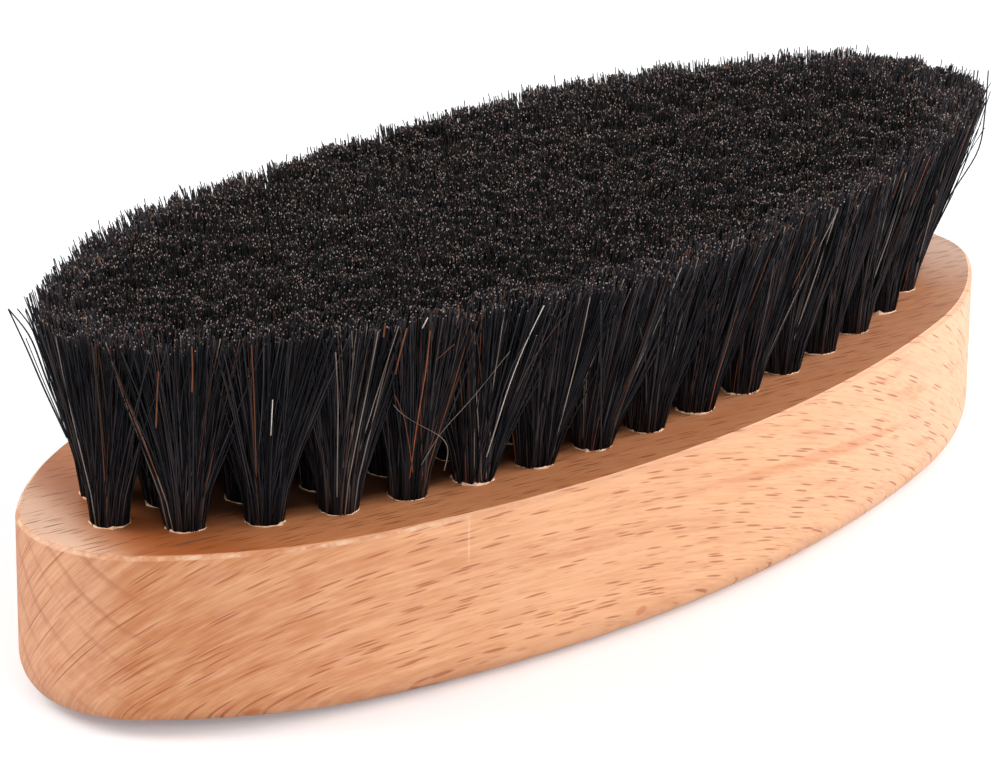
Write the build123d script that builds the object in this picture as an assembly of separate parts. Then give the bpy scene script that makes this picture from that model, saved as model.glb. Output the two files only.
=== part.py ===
from build123d import *
import os
from math import atan2, cos, hypot, pi, radians, sin, tan

# A shoe shine brush: an oval block of beech, drilled from above with rows of blind holes.
# Each hole holds a tuft of horsehair that is folded over a flat steel anchor, whose ends
# bite into the wood on both sides of the hole. The tufts lean outwards and are trimmed level.
# +X runs along the brush, +Y across it and +Z up through the bristles. The brush lies on its
# back, and the origin is at the middle of the back.

# The block
block_length = 180
block_width = 73
block_thickness = 25
tip_round_share = 1.155   # the oval's arcs against an ellipse of this length and width
shoulder_round_share = 1.16
side_round_share = 0.911
back_edge_radius = 6      # the round all along the edge of the back
rim_ease = 0.6            # the sanded top edge
back_flat_length = 80     # the back is flat here, and beyond it rises to the tips
back_tip_rise = 1.8

# The holes
hole_diameter = 5
hole_sides = 12           # a round bore is drawn with this many flats, which touch its circle
hole_depth = 11           # without the drill's point
drill_point_angle = 118
rim_margin = 10.4         # from the block's outline to the outer row
rows_to_middle = 3        # steps from the outer row to the middle line
hole_pitch = 10.3         # between the holes of one row
least_wall = 1.5          # wood between two holes

# The anchors
anchor_thickness = 0.4
anchor_height = 2.0
anchor_bite = 0.35        # how far each end goes into the wood
anchor_fit = 0.02         # all round an anchor, in the wood and in the hair
fold_thickness = 1.0      # the hair that passes under the anchor

# The tufts
hair_height = 28          # from the block to the trimmed ends
hair_fit = 0.05           # between a tuft and its hole
collar_height = 2.5       # the tuft stays one bundle this far above the block
trim_inset_tip = 4.6      # from the block's tip to the bristles' trimmed outline
trim_inset_side = 1.9     # the same at the block's side
locks_per_tuft = 4
lock_parting_share = 2.0  # how far the locks draw apart, as a share of where they start
lock_swell_share = 1.2    # a lock's trimmed end against its foot

# Counts and steps
outline_steps = 720       # points that a row is measured on
overrun = 1               # what a cutter reaches past a face
second_row_tufts_per_node = 2
third_row_tufts_per_node = 6

half_length = block_length / 2
half_width = block_width / 2
tip_radius = tip_round_share * half_width**2 / half_length
shoulder_radius = shoulder_round_share * (half_length * half_width) ** 0.5
side_radius = side_round_share * half_length**2 / half_width
row_spacing = (half_width - rim_margin) / rows_to_middle
hole_radius = hole_diameter / 2
tuft_radius = hole_radius - hair_fit
hole_floor = block_thickness - hole_depth
anchor_floor = hole_floor + fold_thickness
collar_top = block_thickness + collar_height
trim_level = block_thickness + hair_height


def outline_arcs():
    """The arcs of a quarter of the outline: each one's centre, radius, and the turn where it ends."""
    tip = Vector(half_length - tip_radius, 0)
    side = Vector(0, half_width - side_radius)
    apart = (side - tip).length
    from_tip = shoulder_radius - tip_radius
    from_side = side_radius - shoulder_radius
    along = (from_tip**2 - from_side**2 + apart**2) / (2 * apart)
    aside = (from_tip**2 - along**2) ** 0.5
    course = (side - tip).normalized()
    shoulder = tip + course * along + Vector(course.Y, -course.X) * aside
    first_join = atan2(tip.Y - shoulder.Y, tip.X - shoulder.X)
    second_join = atan2(shoulder.Y - side.Y, shoulder.X - side.X)
    return [
        (tip, tip_radius, first_join),
        (shoulder, shoulder_radius, second_join),
        (side, side_radius, pi / 2),
    ]


def outline_point(turn, inset=0):
    """Where the outline, moved inwards, faces this way."""
    along_x = 1 if cos(turn) >= 0 else -1
    along_y = 1 if sin(turn) >= 0 else -1
    quarter_turn = atan2(abs(sin(turn)), abs(cos(turn)))
    for centre, radius, end in outline_arcs():
        if quarter_turn <= end:
            break
    x = centre.X + (radius - inset) * cos(quarter_turn)
    y = centre.Y + (radius - inset) * sin(quarter_turn)
    return along_x * x, along_y * y


def make_outline():
    """The oval in plan."""
    tip_end, shoulder_end = [arc[2] for arc in outline_arcs()[:2]]
    quarter = [tip_end, shoulder_end]
    half = quarter + [pi - turn for turn in reversed(quarter)]
    joins = half + [pi + turn for turn in half] + [2 * pi + tip_end]
    arcs = []
    for start, end in zip(joins, joins[1:]):
        marks = [outline_point(turn) for turn in (start, (start + end) / 2, end)]
        arcs.append(ThreePointArc(*marks))
    return make_face(arcs)


def make_block():
    """The oval block before drilling: its edges are rounded, and its back rises to the tips."""
    oval = extrude(make_outline(), amount=block_thickness)
    levels = oval.edges().group_by(Axis.Z)
    oval = fillet(levels[0], back_edge_radius)
    oval = chamfer(oval.edges().group_by(Axis.Z)[-1], rim_ease)
    rising = extrude(Plane.XZ * back_profile(), amount=half_width + overrun, both=True)
    return (oval & rising).solid()


def back_profile():
    """The block seen from its side: flat in the middle of the back, then an arc to each tip."""
    flat = back_flat_length / 2
    reach = half_length + overrun
    rise_radius = ((half_length - flat) ** 2 + back_tip_rise**2) / (2 * back_tip_rise)
    end_rise = rise_radius - (rise_radius**2 - (reach - flat) ** 2) ** 0.5
    with BuildSketch() as profile:
        with BuildLine():
            left = RadiusArc((-reach, end_rise), (-flat, 0), rise_radius, short_sagitta=True)
            Line((-flat, 0), (flat, 0))
            right = RadiusArc((flat, 0), (reach, end_rise), rise_radius, short_sagitta=True)
            top = block_thickness + overrun
            Polyline(right @ 1, (reach, top), (-reach, top), left @ 0)
        make_face()
    return profile.sketch


def row_curve(inset):
    """Points round the outline moved inwards, from the tip at -X, as far as they don't cross."""
    points = []
    for step in range(outline_steps):
        turn = pi + 2 * pi * step / outline_steps
        x, y = outline_point(turn, inset)
        if y * sin(turn) > 0:
            points.append((x, y))
    return points


def row_holes(inset):
    """Hole centres of one row, evenly spaced along it, with one on each tip."""
    curve = row_curve(inset)
    tip = (curve[0][0] + curve[-1][0]) / 2
    curve = [(tip, 0)] + curve + [(tip, 0)]
    lengths = [0]
    for (x0, y0), (x1, y1) in zip(curve, curve[1:]):
        lengths.append(lengths[-1] + hypot(x1 - x0, y1 - y0))
    count = 2 * round(lengths[-1] / (2 * hole_pitch))
    holes = []
    place = 0
    for hole in range(count):
        along = lengths[-1] * hole / count
        while lengths[place + 1] <= along:
            place += 1
        share = (along - lengths[place]) / (lengths[place + 1] - lengths[place])
        (x0, y0), (x1, y1) = curve[place], curve[place + 1]
        holes.append((x0 + share * (x1 - x0), y0 + share * (y1 - y0)))
    return holes


def centre_holes(around):
    """Hole centres on the middle line, where the row around it leaves room."""
    holes = []
    least_distance = hole_diameter + least_wall
    furthest = max(place[0] for place in around) - least_distance
    most = int(furthest / hole_pitch)
    for step in range(-most, most + 1):
        x = step * hole_pitch
        if all(hypot(x - other[0], other[1]) >= least_distance for other in around):
            holes.append((x, 0))
    return holes


def drill():
    """What one hole takes out of the block: the bore with its point, and the anchor's track."""
    ring = Pos(0, 0, hole_floor) * RegularPolygon(hole_radius, hole_sides, major_radius=False)
    bore = extrude(ring, amount=hole_depth + overrun)
    point_depth = hole_radius / tan(radians(drill_point_angle / 2))
    point = loft([ring.face(), Vertex(0, 0, hole_floor - point_depth)])
    track = anchor_box(anchor_fit, block_thickness + overrun - anchor_floor)
    return bore + point + track


def anchor_box(fit, height):
    """The anchor's place across the hole, with this much room round it."""
    length = hole_diameter + 2 * anchor_bite
    box = Box(
        anchor_thickness + 2 * fit,
        length + 2 * fit,
        height + fit,
        align=(Align.CENTER, Align.CENTER, Align.MIN),
    )
    return Pos(0, 0, anchor_floor - fit) * box


def make_anchor():
    """A flat piece of steel wire, standing on edge across the hole."""
    return anchor_box(0, anchor_height)


def corner(number):
    """A corner of the tuft's foot, which has two sides for each lock."""
    turn = pi * number / locks_per_tuft
    return Vector(tuft_radius * cos(turn), tuft_radius * sin(turn))


def make_tuft(hole):
    """A bundle of hair in its hole, folded under its anchor, that parts into leaning locks."""
    corners = [corner(number) for number in range(2 * locks_per_tuft)]
    foot = extrude(make_face(Polyline(*corners, close=True)), amount=collar_top - hole_floor)
    foot = Pos(0, 0, hole_floor) * foot
    foot -= anchor_box(anchor_fit, anchor_height + anchor_fit)
    locks = [make_lock(2 * number + 1, lean(hole)) for number in range(locks_per_tuft)]
    return Pos(*hole) * foot.fuse(*locks)


def lean(hole):
    """How far a tuft's trimmed end stands outwards of its hole."""
    lock_reach = tuft_radius * (lock_parting_share + lock_swell_share) / 2
    row_half_length = half_length - rim_margin
    row_half_width = half_width - rim_margin
    end_half_length = half_length - trim_inset_tip - lock_reach
    end_half_width = half_width - trim_inset_side - lock_reach
    x, y = hole
    return Vector(
        x * (end_half_length / row_half_length - 1),
        y * (end_half_width / row_half_width - 1),
    )


def make_lock(number, shift):
    """A lock from the collar to the trimmed ends, on the corners beside the one given."""
    foot = [Vector(0, 0), corner(number - 1), corner(number), corner(number + 1)]
    middle = corner(number) / 2
    start = middle * lock_parting_share + shift
    head = [start + (point - middle) * lock_swell_share for point in foot]
    low = [point + Vector(0, 0, collar_top) for point in foot]
    high = [point + Vector(0, 0, trim_level) for point in head]
    rings = [low[::-1], high]
    for place in range(len(low)):
        rings.append([low[place - 1], low[place], high[place], high[place - 1]])
    faces = [Face(Wire.make_polygon(ring, close=True)) for ring in rings]
    return Solid(Shell(faces))


def export_group(name, solids):
    """One node: a solid, or several that are alike."""
    shape = solids[0] if len(solids) == 1 else Compound(children=solids)
    export_step(shape, f"parts/{name}.step")


def main():
    os.makedirs("parts", exist_ok=True)
    rows = {
        "rim": row_holes(rim_margin),
        "second": row_holes(rim_margin + row_spacing),
        "third": row_holes(rim_margin + 2 * row_spacing),
    }
    rows["centre"] = centre_holes(rows["third"])
    groups = {
        "rim": 1,
        "second": second_row_tufts_per_node,
        "third": third_row_tufts_per_node,
        "centre": len(rows["centre"]),
    }
    every_hole = [hole for row in rows.values() for hole in row]
    cutter = drill()
    block = make_block().cut(*[Pos(*hole) * cutter for hole in every_hole])
    export_step(block, "parts/handle_block.step")
    for row, holes in rows.items():
        anchors = [Pos(*hole) * make_anchor() for hole in holes]
        export_group(f"{row}_row_anchors", anchors)
        tufts = [make_tuft(hole) for hole in holes]
        size = groups[row]
        for first in range(0, len(tufts), size):
            name = f"{row}_row_tufts_{first // size + 1:02d}"
            export_group(name, tufts[first : first + size])
        print(row, "row:", len(holes), "tufts")


main()
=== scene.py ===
from math import cos, pi, sin

import bmesh
import bpy
import numpy as np
from mathutils import Matrix, Vector


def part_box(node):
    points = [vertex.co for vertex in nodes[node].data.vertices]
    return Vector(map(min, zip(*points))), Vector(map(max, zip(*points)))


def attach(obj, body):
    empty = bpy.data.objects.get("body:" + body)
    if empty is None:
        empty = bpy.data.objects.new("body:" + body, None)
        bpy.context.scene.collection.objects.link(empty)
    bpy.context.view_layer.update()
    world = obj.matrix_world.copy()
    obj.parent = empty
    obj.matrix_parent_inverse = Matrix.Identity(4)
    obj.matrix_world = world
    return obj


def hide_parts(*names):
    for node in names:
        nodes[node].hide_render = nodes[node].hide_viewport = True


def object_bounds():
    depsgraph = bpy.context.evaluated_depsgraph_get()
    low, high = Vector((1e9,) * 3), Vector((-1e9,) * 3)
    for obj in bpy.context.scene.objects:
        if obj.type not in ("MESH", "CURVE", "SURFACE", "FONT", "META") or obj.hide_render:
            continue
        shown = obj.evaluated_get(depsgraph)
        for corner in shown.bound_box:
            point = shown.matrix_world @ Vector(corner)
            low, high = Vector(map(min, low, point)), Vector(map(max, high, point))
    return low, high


# A shoe shine brush, dressed over its solids: every tuft becomes single hairs, the holes get
# the broken wood fibres round their mouths, and the block is finished as beech.
# Lengths are in metres, as in the frame. Those written in millimetres are multiplied by MM,
# apart from the ones in the wood's material, which works in millimetres throughout.

MM = 0.001
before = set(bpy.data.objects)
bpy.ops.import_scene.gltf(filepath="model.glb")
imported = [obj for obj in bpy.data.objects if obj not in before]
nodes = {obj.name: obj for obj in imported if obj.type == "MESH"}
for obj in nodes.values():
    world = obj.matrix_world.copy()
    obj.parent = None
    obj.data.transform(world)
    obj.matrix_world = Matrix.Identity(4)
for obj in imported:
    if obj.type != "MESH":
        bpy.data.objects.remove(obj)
cad_low, cad_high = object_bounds()
draw = np.random.default_rng(41)

# The brush, from the frame
trim_level = cad_high.z
block_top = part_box("handle_block")[1].z
hair_height = trim_level - block_top

# The single hairs
hairs_in_tuft = {"rim": 820, "second": 860, "third": 860, "centre": 860}
hair_thickness = {"rim": 0.112 * MM, "inner": 0.092 * MM}   # from its middle to a corner
hair_taper = 0.25                # how much thinner it is at its tip, as a share
rim_cuts = (0.2, 0.4, 0.6, 0.8)  # where a hair can bend, as shares of its height
inner_cuts = (0.3, 0.65)
loose_cuts = 17                  # the same for the few loose hairs, evenly spaced
hair_shades = 50                 # strips of the hair's colour map, of which a hair takes one
rare_shades = 2                  # the last ones, which only loose hairs have
strip_margin = 0.04              # left free on both sides of a strip, as a share of it
end_strip = 0.01                 # of the map's length, for a hair's cut end
shade_power = 1.3                # above 1, so that dark hairs are the most
bow = 0.35 * MM                  # how far a hair bends out of its course

# A tuft's foot
root_depth = 0.8 * MM            # the hair starts this far inside its hole
bundle_radius = 2.38 * MM        # a tuft where it leaves its hole
root_scatter = 0.25              # how much its hairs change places there, as a share of that
straight_share = 0.06            # of a hair's height, before the tuft opens
opening_power = 1.06             # at 1 the hairs run straight, and above it they curve outwards
swell_bulge = 20 * MM            # a swell of this much would take 1 off the opening power

# A tuft's trimmed end
tuft_reach = 11 * MM             # the furthest that its hairs' ends are from its middle
trim_overhang = 0.6 * MM         # the hair's outline, past the solid tufts'
scatter_along_edge = 2.0 * MM    # a hair's end against its even place
scatter_outwards = {"rim": 0.7 * MM, "inner": 1.5 * MM}
swell_start, swell_full = 0.6, 0.95   # a swell grows between these shares of the outline
hold_half = np.array((90.2, 37.2)) * MM   # the ends stay inside a blunt oval of this size
hold_bluntness = 2.6             # 2 is an ellipse, and more is nearer to a rectangle
hold_share = 0.06                # of the oval, its outer part, where the ends are drawn in

# The wisps that hairs gather in
wisps_in_tuft = 34
wisp_pull = 0.6                  # how far its hairs are drawn together, as a share
wisp_scatter = {"rim": 2.0 * MM, "inner": 1.2 * MM}   # sideways, so that neighbours cross
wisp_drop = 0.7 * MM             # how much lower a wisp can end than its neighbours
wisp_tone = 0.14                 # how much darker or paler it can be, as a share of the shades

# The hairs that go astray
wild_share = 0.06                # of all hairs
wild_scatter = 2.4 * MM
wild_limit = 5 * MM              # the furthest that they go
wild_outwards = 1.5 * MM         # and the furthest outwards
wild_bow = 3                     # how many times as much they bend

# The trimmed face
trim_scatter = 0.16 * MM         # between single hairs
tuft_drop = 0.35 * MM            # how much lower a tuft can end than its neighbours
edge_drop = 0.9 * MM             # how much shorter the outermost hairs can be
edge_start = 0.9                 # they are those beyond this share of the outline
short_share = 0.04               # of the hairs, which end well below the others
short_drop = (0.5 * MM, 4 * MM)
proud_share = 0.02               # of the hairs, which end nearly at the trim level
proud_drop = (0.02 * MM, 0.5 * MM)
relief_waves_count = 24          # the waves that make the face's soft hollows
relief_length = 8 * MM           # how far apart the hollows are
relief_depth = 0.42 * MM
relief_level, relief_limit = 0.8, 2.6   # how far they reach on average and at most, in depths

# The wood fibres round a hole
mouth_radius = 2.6 * MM
mouth_segments, mouth_sides = 26, 5
fibre_ring = 0.2 * MM
fibre_least, fibre_scatter = 0.1, 0.45   # the ring's thickness in each place, as shares
torn_patches = 6                 # where a hole's edge can be torn up more
torn_growth = 2.6
mouth_scatter = 0.035            # of the ring's own radius, as a share
fibre_height = 1.4               # how high the ring stands, against its width

tiny = 1e-9                      # keeps a division by a length from failing


def deselect_all():
    bpy.ops.object.select_all(action="DESELECT")


def finish_piece(name, mesh, look, replaced=()):
    """A finished piece: its name, its look, what it rides on and what it stands for."""
    piece = bpy.data.objects.new(name, mesh)
    bpy.context.scene.collection.objects.link(piece)
    mesh.materials.append(look)
    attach(piece, "root")
    if replaced:
        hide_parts(*replaced)


def dress_node(name, look):
    """Gives a solid of the frame its look."""
    materials = nodes[name].data.materials
    materials.clear()
    materials.append(look)


# Materials


class Socket:
    """A value in a material that can be used in sums."""

    def __init__(self, look, output):
        self.look = look
        self.output = output

    def sum(self, operation, *values):
        return self.look.sum(operation, *values)

    def __add__(self, other):
        return self.sum("ADD", self, other)

    def __sub__(self, other):
        return self.sum("SUBTRACT", self, other)

    def __rsub__(self, other):
        return self.sum("SUBTRACT", other, self)

    def __mul__(self, other):
        return self.sum("MULTIPLY", self, other)

    def __truediv__(self, other):
        return self.sum("DIVIDE", self, other)

    def __pow__(self, other):
        return self.sum("POWER", self, other)

    __radd__ = __add__
    __rmul__ = __mul__


class NodeTree:
    """A material's or the world's nodes, all of which come from one method."""

    def __init__(self, owner):
        owner.use_nodes = True
        self.tree = owner.node_tree

    def node(self, kind, settings, *values, output=0):
        """Any node: its settings first, then what goes into its sockets, in their order."""
        made = self.tree.nodes.new(kind)
        for setting, value in settings.items():
            if setting == "stops":
                self.set_stops(made.color_ramp, value)
            else:
                setattr(made, setting, value)
        for socket, value in zip(made.inputs, values):
            if isinstance(value, Socket):
                self.tree.links.new(value.output, socket)
            elif value is not None:
                socket.default_value = value
        return Socket(self, made.outputs[output])

    def set_stops(self, ramp, stops):
        while len(ramp.elements) < len(stops):
            ramp.elements.new(1)
        for element, (place, tone) in zip(ramp.elements, stops):
            element.position = place
            element.color = tone

    def sum(self, operation, *values):
        return self.node("ShaderNodeMath", {"operation": operation}, *values)

    def part(self, vector, axis):
        return self.node("ShaderNodeSeparateXYZ", {}, vector, output=axis)

    def vector(self, x, y, z):
        return self.node("ShaderNodeCombineXYZ", {}, x, y, z)

    def step(self, value, low, high):
        """0 below low, 1 above high, and smooth between them."""
        settings = {"interpolation_type": "SMOOTHSTEP"}
        return self.node("ShaderNodeMapRange", settings, value, low, high, 0.0, 1.0)

    def noise(self, vector, scale=1.0, detail=2.0, roughness=0.5):
        return self.node("ShaderNodeTexNoise", {}, vector, None, scale, detail, roughness)

    def chance(self, number):
        """A random value, from 0 to 1, for each number."""
        return self.node("ShaderNodeTexWhiteNoise", {"noise_dimensions": "1D"}, None, number)

    def mix(self, factor, first, second):
        """Mixes two colours, which are the node's last sockets but two."""
        skipped = [None] * 5
        values = [factor, *skipped, first, second]
        return self.node("ShaderNodeMix", {"data_type": "RGBA"}, *values, output=2)

    def lay(self, ground, layers):
        """Lays colours over the ground, one after the other, each as thick as its factor."""
        for factor, tone in layers:
            ground = self.mix(factor, ground, tone)
        return ground

    def object_place(self):
        return self.node("ShaderNodeTexCoord", {}, output=3)


class Look(NodeTree):
    """A material with one Principled shader, whose constants are set on its own sockets."""

    def __init__(self, name, constants):
        self.material = bpy.data.materials.new(name)
        super().__init__(self.material)
        self.shader = self.tree.nodes["Principled BSDF"]
        for socket, value in constants.items():
            self.shader.inputs[socket].default_value = value

    def feed(self, socket, value):
        self.tree.links.new(value.output, self.shader.inputs[socket])


def middle_distance(x, y):
    """How far a place in a material is from the middle."""
    return (x * x + y * y) ** 0.5


def colour(red, green, blue):
    """A screen colour, from 0 to 255, as the shader takes it."""
    shares = [value / 255 for value in (red, green, blue)]
    return tuple(share / 12.92 if share <= 0.04045 else ((share + 0.055) / 1.055) ** 2.4
                 for share in shares) + (1.0,)


# The wood, in millimetres
ring_width = 4.2
ring_upwards, ring_sideways = 0.743, 0.669   # which way the rings are stacked, as shares
ring_drift = 5.0                 # how far they stray from flat
grain_slope = 0.15               # of the rays, along the brush
late_wood_on_side, late_wood_on_ends = 0.03, 0.42
top_ease = 0.6                   # the sanded top edge
bump_strength, bump_depth = 0.12, 0.12 * MM

# Small marks on the wood: middle, size, how much the mark turns sideways and down along the
# brush, how strong it is and its tone
wood_marks = [
    ((-76.3, -12.76, 25.0), (5.0, 0.4, 2.0), (0.26, 0.0), 0.6, colour(98, 72, 62)),
    ((-73.8, -20.9, 2.2), (1.9, 3.0, 1.2), (0.0, 0.0), 0.6, colour(184, 98, 52)),
    ((-16.0, -35.9, 3.9), (1.3, 3.0, 1.0), (0.0, 0.0), 0.55, colour(196, 112, 72)),
    ((-45.55, -31.5, 21.5), (0.26, 3.0, 4.2), (0.0, 0.0), 0.18, colour(255, 230, 206)),
    ((22.0, -35.0, 15.9), (34.0, 9.0, 1.1), (0.0, 0.11), 0.4, colour(204, 126, 88)),
]


class Beech(Look):
    """Beech from a thick trunk, so that its growth rings are nearly flat. They rise towards the
    far side, and the rays across them show as short dashes along the grain and as fine lines on
    the ends."""

    def __init__(self):
        super().__init__("beech", {"Roughness": 0.5, "Specular IOR Level": 0.3})
        in_millimetres = {"operation": "MULTIPLY"}
        place = self.node("ShaderNodeVectorMath", in_millimetres, self.object_place(),
                          (1 / MM, 1 / MM, 1 / MM))
        self.x, self.y, self.z = (self.part(place, axis) for axis in range(3))
        drift = self.noise(self.vector(self.x / 60, self.y / 25, self.z / 25)) * ring_drift
        self.layer = self.z * ring_upwards - self.y * ring_sideways + drift
        across = self.x * grain_slope + self.y * ring_upwards + self.z * ring_sideways
        self.across_rays = across + drift * 0.2
        self.from_middle = self.sum("ABSOLUTE", self.x)
        self.top = block_top / MM
        self.on_top = self.step(self.z, self.top - 0.05, self.top - 0.01)
        self.on_near_tip = 1 - self.step(self.x - self.y * 0.35, -88.0, -76.0)
        self.fibre = self.grain(9, 0.3, 8, 0.65)
        self.rays = self.dashes(6.4, 0.34, 26.0, 0.3)
        self.fine_rays = self.dashes(4.0, 0.2, 20.0, 0.35)

        wood = self.lay(self.ground(), [*self.rays_and_rows(), *self.edge_wear_and_highlight(), *self.marks()])
        self.feed("Base Color", wood)
        height = self.fibre * 0.5 - self.rays * 0.5
        bump = self.node("ShaderNodeBump", {}, bump_strength, bump_depth, None, height)
        self.feed("Normal", bump)

    def grain(self, length, width, depth, roughness=0.6):
        """Noise drawn out along the grain, with this size across the rays and the rings."""
        place = self.vector(self.x / length, self.across_rays / width, self.layer / depth)
        return self.noise(place, 1.0, 3.0, roughness)

    def dashes(self, length, width, depth, left_out):
        """Rays as short flat streaks of this size, of which a share is left out."""
        place = self.vector(self.x / length, self.across_rays / width, self.layer / depth)
        settings = {"voronoi_dimensions": "3D"}
        distance = self.node("ShaderNodeTexVoronoi", settings, place, None, 1.0)
        cell = self.node("ShaderNodeTexVoronoi", settings, place, None, 1.0, output=1)
        kept = self.step(self.part(cell, 0), left_out - 0.08, left_out + 0.08)
        return (1 - self.step(distance, 0.18, 0.34)) * kept

    def late_wood(self):
        """The darker part of each growth ring, which shows mostly on the ends."""
        turn = self.layer / ring_width
        fraction = self.sum("FRACT", turn)
        dark = self.step(fraction, 0.68, 0.9) * (1 - self.step(fraction, 0.9, 1.0))
        strength = self.noise(self.vector(self.x / 50, turn * 0.6, self.across_rays / 20))
        at_ends = self.step(self.from_middle, 83.0, 88.0) * late_wood_on_ends + late_wood_on_side
        return dark * at_ends * self.step(strength, 0.3, 0.55)

    def ground(self):
        """The wood without its rays, which is redder at the near end and paler towards the far
        one: painted light, for the brighter light there.
        """
        x, y, z = self.x, self.y, self.z
        streaks = self.grain(24, 1.3, 7)
        red_place = self.vector(x / 60 + 9.0, self.across_rays / 2.6, self.layer / 3)
        red = self.noise(red_place, 1.0, 3.0, 0.6)
        patches = self.noise(self.vector(x / 7, y / 7, z / 6), 1.0, 3.0, 0.6)
        dark_fibre = self.step(self.fibre, 0.55, 0.2) * (self.on_top * 0.4 + 0.35)
        layers = [
            # from the near end to the far one, which is painted light, and both ends
            (self.step(x, -95.0, -25.0), colour(224, 165, 123)),
            (self.step(x, -30.0, 90.0), colour(233, 192, 160)),
            (self.step(self.from_middle, 85.0, 90.0) * 0.5, colour(234, 178, 148)),
            # the grain, pale and dark
            (self.step(streaks, 0.38, 0.68) * 0.4, colour(244, 188, 144)),
            (self.step(red, 0.5, 0.75) * 0.4, colour(198, 122, 84)),
            (self.step(patches, 0.45, 0.75) * 0.25, colour(232, 176, 142)),
            (self.step(self.fibre, 0.45, 0.75) * 0.35, colour(244, 196, 158)),
            (dark_fibre, colour(186, 114, 78)),
            (self.late_wood(), colour(178, 108, 76)),
            # the far tip, a painted highlight
            (self.step(x, 76.0, 90.0) * 0.6, colour(250, 228, 208)),
        ]
        return self.lay(colour(198, 125, 76), [*layers, *self.top_face_light_and_shade()])

    def top_face_light_and_shade(self):
        """The ledge round the tufts, painted with light and shade: pale on the near tip and the
        far one, which is painted highlight, then darker than the sides, which is painted shade,
        with a painted shadow of the hair beside the near tip.
        """
        off_tip = 1 - self.on_near_tip
        hair_shadow_beside_tip = off_tip * (1 - self.step(self.x, -78.0, -64.0))
        return [
            # painted highlight on the near tip
            (self.on_top * self.on_near_tip * 0.9, colour(246, 200, 170)),
            # painted shade, darker than the sides, and more of it further along
            (self.on_top * off_tip * 0.5, colour(208, 116, 54)),
            (self.on_top * self.step(self.x, -50.0, -34.0) * 0.16, colour(156, 76, 36)),
            # painted shadow of the hair beside the near tip
            (self.on_top * hair_shadow_beside_tip * 0.8, colour(158, 80, 34)),
            # painted highlight on the far tip
            (self.on_top * self.step(self.x, 66.0, 86.0) * 0.65, colour(242, 204, 180)),
        ]

    def rays_and_rows(self):
        """The rays, and painted shade on the ledge between the rows of tufts, where the hair
        keeps the light off.
        """
        # The rays are darker on the top face, to go with its painted shade
        ray_tone = self.mix(self.on_top, colour(164, 90, 58), colour(122, 66, 36))
        row_share = middle_distance(self.x / (row_half[0] / MM), self.y / (row_half[1] / MM))
        shade_between_rows = self.on_top * (1 - self.step(row_share, 0.88, 1.0))
        return [
            (self.fine_rays * (self.on_top * 0.4 + 0.3), colour(176, 102, 68)),
            (self.rays * 0.75, ray_tone),
            # painted shade between the rows of tufts
            (shade_between_rows * 0.9, colour(48, 26, 18)),
        ]

    def edge_wear_and_highlight(self):
        """The sanded top edge, pale in places towards the near end: partly wear, partly a painted
        highlight where the edge catches the light.
        """
        low, high = self.top - top_ease, self.top
        edge = self.step(self.z, low - 0.05, low + 0.15) * (
            1 - self.step(self.z, high - 0.25, high - 0.05))
        wear_and_highlight = self.noise(self.vector(self.x / 6, self.y / 6, 0.0), 1.0, 4.0, 0.7)
        near_end = 1 - self.step(self.x, -60.0, -20.0)
        return [
            (edge * 0.35, colour(204, 140, 102)),
            # pale patches: partly wear, partly a painted highlight
            (edge * self.step(wear_and_highlight, 0.4, 0.65) * near_end * 0.5, colour(252, 226, 198)),
        ]

    def marks(self):
        """The small marks: each is 1 in its middle and 0 outside."""
        for middle, size, turns, strength, tone in wood_marks:
            x, y, z = (value - centre for value, centre in zip((self.x, self.y, self.z), middle))
            turned = (x, y + x * turns[0], z + x * turns[1])
            along, across, up = (value / length for value, length in zip(turned, size))
            away = (along ** 2.0 + across ** 2.0 + up ** 2.0) ** 0.5
            yield (1 - self.step(away, 0.5, 1.0)) * strength, tone


# The hair's shades, from the darkest to the rarest, by their place among the strips
hair_stops = [
    (0.0, colour(22, 22, 26)),
    (0.30, colour(37, 37, 41)),
    (0.60, colour(53, 51, 55)),
    (0.80, colour(69, 64, 66)),
    (0.90, colour(82, 65, 60)),
    (0.925, colour(96, 62, 46)),
    (0.94, colour(122, 72, 48)),
    (0.96, colour(150, 138, 130)),
    (0.98, colour(152, 84, 52)),
    (1.0, colour(220, 206, 196)),
]


def horsehair():
    """Nearly black hair with brown, russet and grey ones in it. Its map runs along the hair in
    u, and in v through strips of one shade each."""
    look = Look("horsehair", {"Roughness": 0.4, "Specular IOR Level": 0.05})
    map_place = look.node("ShaderNodeUVMap", {"uv_map": "OFBake"})
    along = look.part(map_place, 0)
    shade = look.sum("FLOOR", look.part(map_place, 1) * hair_shades)
    hair = look.node("ShaderNodeValToRGB", {"stops": hair_stops}, shade / (hair_shades - 1))

    change = look.noise(look.vector(shade * 3.7, along * 3, 0.0))
    place = look.object_place()
    x, y = look.part(place, 0) / trim_half[0], look.part(place, 1) / trim_half[1]
    # Hairs away from the outline, whose tips get painted shade
    inside = 1 - look.step(middle_distance(x, y), 0.86, 0.97)
    # Pale cut ends on some hairs: painted glints
    glint_tone = look.mix(look.chance(shade + 0.5), colour(146, 108, 92), colour(196, 184, 180))
    cut_end_glint = look.step(along, 0.992, 0.996) * look.step(look.chance(shade), 0.5, 1.0)
    hair = look.lay(hair, [
        (look.step(change, 0.35, 0.7) * 0.45, colour(12, 11, 12)),        # stretches of a hair
        (look.step(along, 0.8, 0.97) * inside * 0.82, colour(8, 7, 8)),   # painted shade on the tips among others
        # painted glints on the cut ends
        (cut_end_glint * 0.9, glint_tone),
    ])
    look.feed("Base Color", hair)
    return look.material


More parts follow.
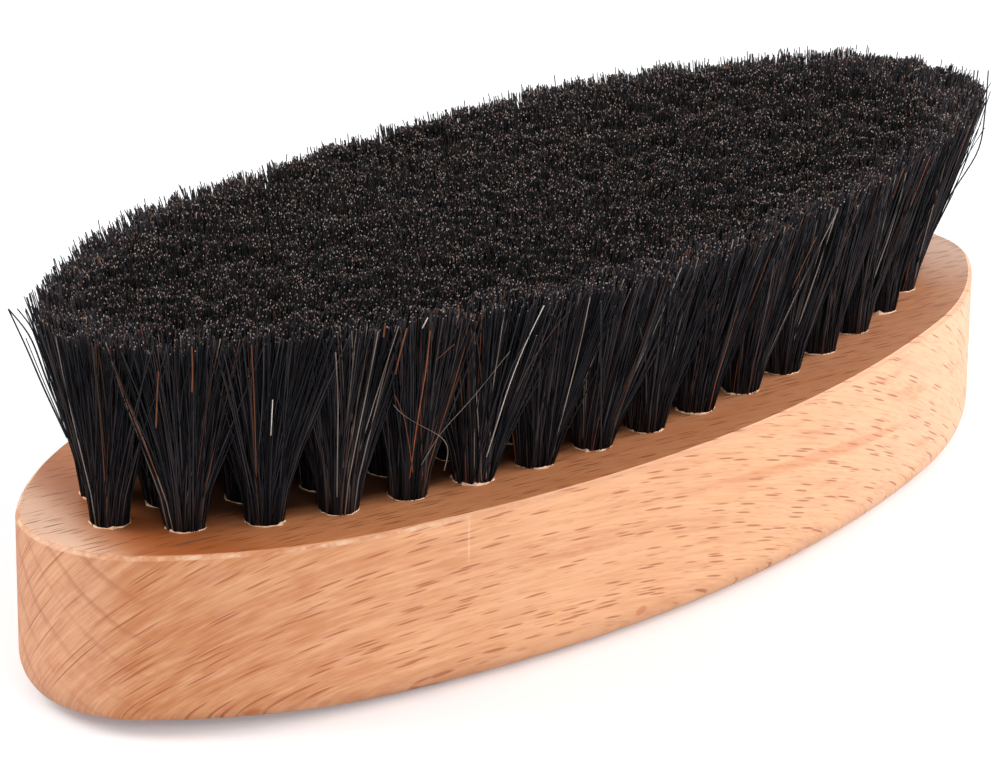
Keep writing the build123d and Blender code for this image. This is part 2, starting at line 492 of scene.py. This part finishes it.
def broken_fibre():
    look = Look("broken_fibre", {"Roughness": 0.7, "Specular IOR Level": 0.2})
    mottle = look.noise(look.object_place(), 1500.0)
    look.feed("Base Color", look.mix(mottle, colour(204, 146, 106), colour(252, 226, 200)))
    return look.material


def anchor_steel():
    steel = {"Base Color": colour(150, 150, 148), "Metallic": 1.0, "Roughness": 0.35}
    return Look("anchor_steel", steel).material


# The tufts' places


def tuft_places(node):
    """Each tuft's middle where it stands in its hole, and in its trimmed end."""
    cloud = bmesh.new()
    cloud.from_mesh(node.data)
    bmesh.ops.remove_doubles(cloud, verts=cloud.verts, dist=0.001 * MM)
    waiting = set(cloud.verts)
    places = []
    while waiting:
        part = {waiting.pop()}
        front = set(part)
        while front:
            touching = {edge.other_vert(vertex) for vertex in front for edge in vertex.link_edges}
            front = touching - part
            part |= front
        waiting -= part
        points = np.array([vertex.co for vertex in part])
        low = points[points[:, 2] < points[:, 2].min() + 0.01 * MM]
        high = points[points[:, 2] > points[:, 2].max() - 0.01 * MM]
        places.append((low.mean(0)[:2], (high.max(0)[:2] + high.min(0)[:2]) / 2))
    cloud.free()
    return sorted(places, key=lambda place: tuple(place[0]))


# Hair


def model_hair(cuts):
    """One straight hair of three sides, a unit long and a unit thick, cut where it can bend."""
    deselect_all()
    bpy.ops.mesh.primitive_cylinder_add(vertices=3, radius=1, depth=1, location=(0, 0, 0.5))
    hair = bpy.context.object
    bpy.ops.object.transform_apply(location=True)
    bpy.ops.object.mode_set(mode="EDIT")
    for cut in cuts:
        bpy.ops.mesh.select_all(action="SELECT")
        bpy.ops.mesh.bisect(plane_co=(0, 0, cut), plane_no=(0, 0, 1))
    bpy.ops.object.mode_set(mode="OBJECT")
    return hair


class HairPattern:
    """The modelled hair as lists of points and faces, ready to be copied. Its map's places are
    along the hair, from 0 to 1, and to one side or the other of its strip."""

    def __init__(self, cuts):
        hair = model_hair(cuts)
        mesh = hair.data
        self.shares = np.array((0.0, *cuts, 1.0))
        self.points = np.array([vertex.co for vertex in mesh.vertices])
        self.faces = [list(face.vertices) for face in mesh.polygons]
        self.along = []
        self.side = []
        for face in mesh.polygons:
            if abs(face.normal.z) > 0.5:
                end = 1.0 if face.normal.z > 0 else end_strip
                self.along += [end - end_strip, end - end_strip, end]
                self.side += [0, 1, 0.5]
                continue
            tangent = Vector((-face.normal.y, face.normal.x, 0))
            for vertex in face.vertices:
                point = mesh.vertices[vertex].co
                self.along.append(point.z)
                self.side.append(1 if point.dot(tangent) > 0 else 0)
        self.along = np.array(self.along)
        self.side = np.array(self.side)
        bpy.data.objects.remove(hair)

    def copied_points(self, paths, thickness):
        """The pattern's points on each path, every hair turned its own way round."""
        x, y, heights = self.points.T
        level = np.array([np.argmin(abs(self.shares - height)) for height in heights])
        turn = draw.uniform(0, 2 * pi, len(paths))[:, None]
        width = np.reshape(thickness, (-1, 1)) * (1 - hair_taper * heights)
        points = paths[:, level, :].copy()
        points[:, :, 0] += (x * np.cos(turn) - y * np.sin(turn)) * width
        points[:, :, 1] += (x * np.sin(turn) + y * np.cos(turn)) * width
        return points

    def copied_map(self, shades):
        """The pattern's map in the strip of each hair's shade."""
        u = np.tile(self.along, len(shades))
        in_strip = strip_margin + (1 - 2 * strip_margin) * self.side[None, :]
        v = ((shades[:, None] + in_strip) / hair_shades).ravel()
        return np.stack([u, v], 1)


def hair_mesh(name, pattern, paths, shades, thickness):
    """Many hairs as one mesh, each along its own path through the pattern's cuts."""
    count = len(paths)
    points = pattern.copied_points(paths, thickness)
    per_hair = len(pattern.points)
    sizes = np.array([len(face) for face in pattern.faces])
    corners = np.concatenate(pattern.faces)
    loops = (corners[None, :] + per_hair * np.arange(count)[:, None]).ravel()
    starts = np.cumsum(np.concatenate([[0], np.tile(sizes, count)[:-1]]))
    mesh = bpy.data.meshes.new(name)
    mesh.vertices.add(count * per_hair)
    mesh.vertices.foreach_set("co", points.astype(np.float32).ravel())
    mesh.loops.add(len(loops))
    mesh.loops.foreach_set("vertex_index", loops.astype(np.int32))
    mesh.polygons.add(len(starts))
    mesh.polygons.foreach_set("loop_start", starts.astype(np.int32))
    mesh.polygons.foreach_set("use_smooth", np.ones(len(starts), bool))
    layer = mesh.uv_layers.new(name="OFBake")
    layer.data.foreach_set("uv", pattern.copied_map(shades).astype(np.float32).ravel())
    mesh.update(calc_edges=True)
    mesh.validate()
    return mesh


# Where the trimmed outline stands out of a plain oval, or is drawn in, as x, y, push and reach
swells = [
    (-12 * MM, -34 * MM, 2.6 * MM, 26 * MM),
    (-66 * MM, -22 * MM, -2.6 * MM, 17 * MM),
    (0 * MM, 33 * MM, -0.6 * MM, 26 * MM),
    (48 * MM, 29 * MM, 2.4 * MM, 26 * MM),
    (88 * MM, -4 * MM, 7.6 * MM, 18 * MM),
    (82 * MM, 14 * MM, 3.6 * MM, 10 * MM),
    (-80 * MM, 15 * MM, 0.6 * MM, 13 * MM),
    (-50 * MM, 29 * MM, 2.2 * MM, 18 * MM),
]


def column(values):
    """One value for each hair, to be multiplied by its places."""
    return values[:, None]


def length_of(points):
    return np.hypot(*points.T)


def direction_of(points):
    """Which way each point lies from the middle."""
    return points / column(np.maximum(length_of(points), tiny))


def grown(value, start, full):
    """0 below start, 1 above full, and even between them."""
    return np.clip((value - start) / (full - start), 0, 1)


def swell_push(points):
    """How far outwards the hair is pushed at each trimmed end."""
    push = np.zeros(len(points))
    for x, y, amount, reach in swells:
        away = np.hypot(points[:, 0] - x, points[:, 1] - y)
        push += amount * np.exp(-((away / reach) ** 2))
    return push * grown(length_of(points / trim_half), swell_start, swell_full)


def trimmed_ends(number, count):
    """Where one tuft's hairs end: over the part of the trimmed oval that is nearest to it."""
    head = heads[number]
    near = heads[length_of(heads - head) < 2 * tuft_reach]
    kept = np.empty((0, 2))
    while len(kept) < count:
        turn = draw.uniform(0, 2 * pi, 4 * count)
        reach = tuft_reach * np.sqrt(draw.uniform(0, 1, 4 * count))
        ends = head + np.stack([reach * np.cos(turn), reach * np.sin(turn)], 1)
        ends = ends[length_of(ends / trim_half) < 1]
        away = np.hypot(*(ends[:, None] - near[None]).transpose(2, 0, 1))
        own = length_of(ends - head) <= away.min(1) + tiny
        kept = np.concatenate([kept, ends[own]])
    return kept[:count]


def held_in(ends):
    """Draws in the hair that would stand past the block's outline."""
    reach = ((abs(ends) / hold_half) ** hold_bluntness).sum(1) ** (1 / hold_bluntness)
    past = np.maximum(reach - 1 + hold_share, 0) / hold_share
    held = np.minimum(reach, 1 - hold_share) + hold_share * (1 - np.exp(-past))
    return ends * column(held / np.maximum(reach, tiny))


def hollows(ends):
    """How far the trimmed face sinks here and there, from 0 up."""
    waves = np.cos(ends @ relief_waves.T + relief_starts).sum(1)
    waves /= (relief_waves_count / 2) ** 0.5
    return np.clip(waves + relief_level, 0, relief_limit) * relief_depth


def hair_roots(number, ends):
    """Where one tuft's hairs leave the hole: in the same order from its middle as they end."""
    count = len(ends)
    offset = ends - heads[number]
    rank = np.argsort(np.argsort(length_of(offset))) + 0.5
    root = direction_of(offset) * column(np.sqrt(rank / count))
    root += draw.normal(0, root_scatter, (count, 2))
    root *= column(np.minimum(1, 1 / length_of(root)))
    return feet[number] + root * bundle_radius


def scattered(ends, nearest, wild, kind):
    """The trimmed ends gathered in wisps, and strewn along the brush's edge and outwards."""
    count = len(ends)
    ends = ends + (ends[:wisps_in_tuft][nearest] - ends) * wisp_pull
    outwards = direction_of(ends / trim_half**2)
    along_edge = np.stack([-outwards[:, 1], outwards[:, 0]], 1)
    ends += along_edge * column(draw.normal(0, wisp_scatter[kind], wisps_in_tuft)[nearest])
    ends += outwards * column(draw.normal(0, scatter_outwards[kind], count))
    ends += along_edge * column(draw.normal(0, scatter_along_edge, count))
    stray = draw.normal(0, wild_scatter, (wild.sum(), 2))
    stray = np.clip(stray, -wild_limit, wild_limit)
    too_far = np.maximum((stray * outwards[wild]).sum(1) - wild_outwards, 0)
    ends[wild] += stray - outwards[wild] * column(too_far)
    return ends


def hair_drops(ends, reach, nearest):
    """How far below the trim level each hair ends."""
    count = len(ends)
    drop = abs(draw.normal(0, trim_scatter, count)) + hollows(ends)
    drop += draw.uniform(0, wisp_drop, wisps_in_tuft)[nearest] + draw.uniform(0, tuft_drop)
    drop += draw.uniform(0, edge_drop, count) * grown(reach, edge_start, 1)
    short = draw.uniform(0, 1, count) < short_share
    drop[short] += draw.uniform(*short_drop, short.sum())
    proud = draw.uniform(0, 1, count) < proud_share
    drop[proud] = draw.uniform(*proud_drop, proud.sum())
    return drop


def tuft_hairs(number, count, kind):
    """The paths of one tuft's hairs, from inside the hole to the trimmed ends, and its shades."""
    ends = trimmed_ends(number, count)
    roots = hair_roots(number, ends)
    wisps = ends[:wisps_in_tuft]
    nearest = np.argmin(((ends[:, None] - wisps[None]) ** 2).sum(2), 1)
    wild = draw.uniform(0, 1, count) < wild_share
    ends = scattered(ends, nearest, wild, kind)
    reach = length_of(ends / trim_half)
    push = swell_push(ends)
    ends = held_in(ends + direction_of(ends / trim_half) * column(push))

    shares = patterns[kind].shares
    low = block_top - root_depth
    drop = hair_drops(ends, reach, nearest)
    height = low + np.outer(trim_level - drop - low, shares)

    t = shares[None, :, None]
    power = opening_power - push[:, None, None] / swell_bulge
    opened = grown(t, straight_share, 1) ** power
    bend = draw.normal(0, bow, (count, 2))
    bend[wild] *= wild_bow
    level = roots[:, None] + (ends - roots)[:, None] * opened + bend[:, None] * np.sin(pi * t) * t
    tone = draw.uniform(-wisp_tone, wisp_tone, wisps_in_tuft)[nearest]
    shade = draw.uniform(0, 1, count) ** shade_power + tone * draw.uniform(0, 1, count)
    shade = np.floor(np.clip(shade, 0, 0.999) * (hair_shades - rare_shades))
    return np.concatenate([level, height[:, :, None]], 2), shade


# Single hairs that stand out on the near side and at both ends: a shade, the thickness as a
# share of the others', and the places that the hair passes, from its tip down. A place is a turn
# round the brush from +X in degrees, a height above the block in millimetres, and the distance
# out from the brush's middle as a share of the plain tufts'.
loose_hairs = [
    (49, 0.9, (-112.5, 27, 1.09), (-114, 21.5, 1.085), (-115, 16, 1.08), (-116.5, 5, 1.04)),
    (48, 1.0, (-125, 26, 1.04), (-125, 20.5, 1.04), (-125.5, 12.5, 1.035), (-126, 4, 1.015)),
    (47, 0.6, (-128.5, 16, 1.035), (-127.5, 14.5, 1.04), (-125, 12.5, 1.05), (-122, 10, 1.055),
     (-121, 8, 1.055), (-121.5, 4.5, 1.04)),
    (46, 0.8, (-128.5, 17.5, 1.035), (-127, 14, 1.04), (-126, 9.5, 1.045), (-125.5, 5, 1.025)),
    (46, 0.8, (-124, 21.5, 1.045), (-122, 23.5, 1.05)),
    (47, 0.5, (-115.5, 21, 1.075), (-119, 15, 1.06), (-122.5, 10.5, 1.05), (-124.5, 6, 1.03)),
    (44, 0.8, (-109.5, 25.5, 1.1), (-111, 23, 1.09), (-113, 18.5, 1.08), (-114, 14, 1.05)),
    (47, 0.9, (-136.5, 24.5, 1.005), (-135.5, 17.5, 1.02), (-135, 10, 1.03), (-135, 3.5, 1.02)),
    (49, 0.9, (-144, 19, 1.015), (-144, 14, 1.02)),
    (46, 1.1, (-130.5, 28, 1.02), (-130.5, 26, 1.025)),
    (49, 1.0, (-125.5, 28, 1.035), (-126, 26.5, 1.035)),
    (48, 1.2, (-128, 26.5, 1.015), (-128.5, 23.5, 1.015), (-129, 20, 1.01)),
    (46, 1.1, (-154.5, 27.5, 1.025), (-154.5, 24.5, 1.025), (-155, 21, 1.02)),
    (46, 1.1, (-160, 24, 1.02), (-160.5, 20.5, 1.02), (-161, 16, 1.02)),
    (30, 1.5, (163, 28, 1.055), (165, 22.5, 1.035), (166.5, 17.5, 1.02), (169.5, 10.5, 0.995)),
    (32, 1.6, (163, 28, 1.055), (165.5, 24.5, 1.025), (167.5, 17.5, 1.01), (170, 11, 0.99)),
    (28, 1.6, (164, 28, 1.04), (165.5, 25.5, 1.02), (167, 21, 1.01), (170, 13, 0.985)),
    (26, 1.5, (165, 28, 1.025), (166, 25, 1.015), (167, 20.5, 1.005), (170, 11, 0.985)),
    (40, 1.4, (-17, 28, 1.085), (-17.5, 22.5, 1.095), (-17.5, 15.5, 1.105), (-11.5, 5, 1.04)),
    (30, 1.5, (-13.5, 27.5, 1.065), (-13.5, 21, 1.075), (-12.5, 13, 1.07), (-9.5, 5, 1.03)),
    (24, 1.5, (-15.5, 28, 1.065), (-15.5, 22, 1.07), (-14.5, 14, 1.07), (-10.5, 5, 1.03)),
    (34, 1.4, (-9.5, 27.5, 1.055), (-10, 22, 1.06), (-9, 14, 1.055), (-6.5, 5, 1.025)),
]
loose_drop = 0.1 * MM            # a loose hair ends at least this far below the trim level
loose_smoothings = 4


def hair_course(places):
    """A smooth course from the last place up to the first, as far as the loose pattern's cuts."""
    turn, height, reach = np.array(places[::-1]).T
    turn = np.radians(turn)
    height = np.minimum(height * MM, hair_height - loose_drop)
    foot_half = row_half + bundle_radius
    plain_half = foot_half + (trim_half - foot_half) * column(height / hair_height)
    level = plain_half * column(reach) * np.stack([np.cos(turn), np.sin(turn)], 1)
    points = np.column_stack([level, block_top + height])
    steps = np.linalg.norm(np.diff(points, axis=0), axis=1)
    lengths = np.concatenate([[0], np.cumsum(steps)])
    stops = patterns["loose"].shares * lengths[-1]
    course = np.stack([np.interp(stops, lengths, axis) for axis in points.T], 1)
    for _ in range(loose_smoothings):
        course[1:-1] = (course[:-2] + 2 * course[1:-1] + course[2:]) / 4
    return course


def make_loose_hairs(look):
    shades = np.array([hair[0] for hair in loose_hairs])
    thickness = np.array([hair[1] for hair in loose_hairs]) * hair_thickness["rim"]
    courses = np.array([hair_course(hair[2:]) for hair in loose_hairs])
    mesh = hair_mesh("loose_hairs", patterns["loose"], courses, shades, thickness)
    finish_piece("loose_hairs", mesh, look)


def make_tufts(look):
    """The hair of each node of tufts, which takes the place of its solids."""
    first = 0
    for node_name, group in places.items():
        row = node_name.split("_")[0]
        kind = "rim" if row == "rim" else "inner"
        numbers = range(first, first + len(group))
        hairs = [tuft_hairs(number, hairs_in_tuft[row], kind) for number in numbers]
        paths, shades = (np.concatenate(parts) for parts in zip(*hairs))
        name = node_name.replace("tufts", "hair")
        mesh = hair_mesh(name, patterns[kind], paths, shades, hair_thickness[kind])
        finish_piece(name, mesh, look, [node_name])
        first += len(group)


# Wood fibres


def model_mouth():
    """A plain ring round one hole."""
    deselect_all()
    bpy.ops.mesh.primitive_torus_add(major_segments=mouth_segments, minor_segments=mouth_sides,
                                     major_radius=mouth_radius, minor_radius=fibre_ring)
    ring = bpy.context.object
    points = np.array([vertex.co for vertex in ring.data.vertices])
    faces = [list(face.vertices) for face in ring.data.polygons]
    bpy.data.objects.remove(ring)
    return points, faces


def mouth_fibres():
    """A ragged ring of fibres round every hole, torn up more in some places."""
    points, faces = model_mouth()
    turn = np.arctan2(points[:, 1], points[:, 0])
    segment = np.round(turn / (2 * pi) * mouth_segments).astype(int) % mouth_segments
    outer = length_of(points[:, :2]) - mouth_radius
    patch_places = np.linspace(0, mouth_segments, torn_patches)
    all_points = []
    all_faces = []
    for number, foot in enumerate(feet):
        patches = draw.uniform(0, 1, torn_patches)
        torn = np.interp(np.arange(mouth_segments), patch_places, patches) ** 2 * torn_growth
        ragged = fibre_least + draw.uniform(0, fibre_scatter, mouth_segments)
        ragged += torn * draw.uniform(0, 1, mouth_segments) ** 3
        radius = mouth_radius * (1 + draw.normal(0, mouth_scatter, mouth_segments))[segment]
        radius += outer * ragged[segment]
        height = block_top + points[:, 2] * ragged[segment] * fibre_height
        x, y = foot[0] + radius * np.cos(turn), foot[1] + radius * np.sin(turn)
        all_points.append(np.stack([x, y, height], 1))
        all_faces += [[vertex + number * len(points) for vertex in face] for face in faces]
    mesh = bpy.data.meshes.new("mouth_fibres")
    mesh.from_pydata(np.concatenate(all_points), [], all_faces)
    return mesh


# Floor, light and camera


def grey(value):
    return (value, value, value, 1.0)


def make_floor():
    """A pale floor just under the back, which glows for the camera alone."""
    deselect_all()
    bpy.ops.mesh.primitive_plane_add(size=6, location=(0, 0, -0.1 * MM))
    floor = bpy.context.object
    floor.name = "floor"
    look = Look("pale_floor", {
        "Roughness": 0.9,
        "Specular IOR Level": 0.1,
        "Emission Strength": 1.0,
    })
    seen = look.node("ShaderNodeLightPath", {}, output=0)
    place = look.object_place()
    away = look.step(middle_distance(look.part(place, 0), look.part(place, 1)), 0.4, 1.4)
    glow = look.mix(away, (0.15, 0.16, 0.18, 1.0), grey(0.7))
    look.feed("Base Color", look.mix(seen, grey(0.75), (0.95, 0.96, 0.96, 1.0)))
    look.feed("Emission Color", look.mix(seen, grey(0.0), glow))
    floor.data.materials.append(look.material)


def make_world(fill_strength):
    """White where it is seen, in reflections too, and a dimmer light on the object."""
    world = bpy.data.worlds.new("studio")
    bpy.context.scene.world = world
    studio = NodeTree(world)
    rays = ("Is Camera Ray", "Is Glossy Ray", "Is Transmission Ray")
    camera, glossy, transmission = (
        studio.node("ShaderNodeLightPath", {}, output=ray) for ray in rays)
    seen = studio.sum("MAXIMUM", studio.sum("MAXIMUM", camera, glossy), transmission)
    fill = studio.node("ShaderNodeBackground", {}, grey(1.0), fill_strength)
    backdrop = studio.node("ShaderNodeBackground", {}, grey(1.0), 1.0)
    light = studio.node("ShaderNodeMixShader", {}, seen, fill, backdrop)
    studio.tree.links.new(light.output, studio.tree.nodes["World Output"].inputs["Surface"])


def make_lamp(name, place, aim, size, power):
    lamp = bpy.data.objects.new(name, bpy.data.lights.new(name, "AREA"))
    bpy.context.scene.collection.objects.link(lamp)
    lamp.data.shape = "SQUARE"
    lamp.data.size = size
    lamp.data.energy = power
    lamp.location = place
    lamp.rotation_euler = (Vector(aim) - Vector(place)).to_track_quat("-Z", "Y").to_euler()


def make_camera():
    """The camera that took the photograph, found from the block's outline and the tufts."""
    yaw, pitch, roll = 0.8255, -0.3494, 0.0120
    place = Vector((-452.43, -411.90, 245.91)) * MM
    focal_pixels, image_width = 4642.9, 1000
    ahead = Vector((sin(yaw) * cos(pitch), cos(yaw) * cos(pitch), sin(pitch)))
    level_right = ahead.cross(Vector((0, 0, 1))).normalized()
    level_up = level_right.cross(ahead)
    right = level_right * cos(roll) + level_up * sin(roll)
    up = level_up * cos(roll) - level_right * sin(roll)
    camera = bpy.data.objects.new("camera", bpy.data.cameras.new("camera"))
    bpy.context.scene.collection.objects.link(camera)
    turned = Matrix((right, up, -ahead)).transposed().to_4x4()
    camera.matrix_world = Matrix.Translation(place) @ turned
    camera.data.sensor_width = 36
    camera.data.lens = focal_pixels / image_width * camera.data.sensor_width
    camera.data.clip_start = 0.01
    camera.data.clip_end = 20
    bpy.context.scene.camera = camera


# The scene

tuft_nodes = sorted(name for name in nodes if "_tufts_" in name)
anchor_nodes = sorted(name for name in nodes if name.endswith("_anchors"))
places = {name: tuft_places(nodes[name]) for name in tuft_nodes}
feet = np.array([foot for group in places.values() for foot, head in group])
heads = np.array([head for group in places.values() for foot, head in group])
row_half = abs(feet).max(0)
solid_ends = np.array([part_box(name)[1][:2] for name in tuft_nodes])
trim_half = solid_ends.max(0) + trim_overhang

dress_node("handle_block", Beech().material)
hair_look = horsehair()
fibre_look = broken_fibre()
steel_look = anchor_steel()

patterns = {
    "rim": HairPattern(rim_cuts),
    "inner": HairPattern(inner_cuts),
    "loose": HairPattern([(cut + 1) / (loose_cuts + 1) for cut in range(loose_cuts)]),
}
relief_waves = draw.normal(0, 2 * pi / relief_length, (relief_waves_count, 2))
relief_starts = draw.uniform(0, 2 * pi, relief_waves_count)
make_tufts(hair_look)
make_loose_hairs(hair_look)
for anchor_node in anchor_nodes:
    dress_node(anchor_node, steel_look)
finish_piece("mouth_fibres", mouth_fibres(), fibre_look)

make_floor()
make_world(0.46)
make_lamp("key", (0.40, -0.35, 0.26), (0.05, 0, 0.02), 0.35, 2.7)
make_lamp("front_fill", (-0.45, -0.65, 0.35), (0, 0, 0.02), 0.6, 2.6)
make_lamp("back_left", (-0.35, 0.40, 0.45), (-0.06, 0, 0.02), 0.4, 2.8)
make_camera()
bpy.context.scene.view_settings.view_transform = "Standard"
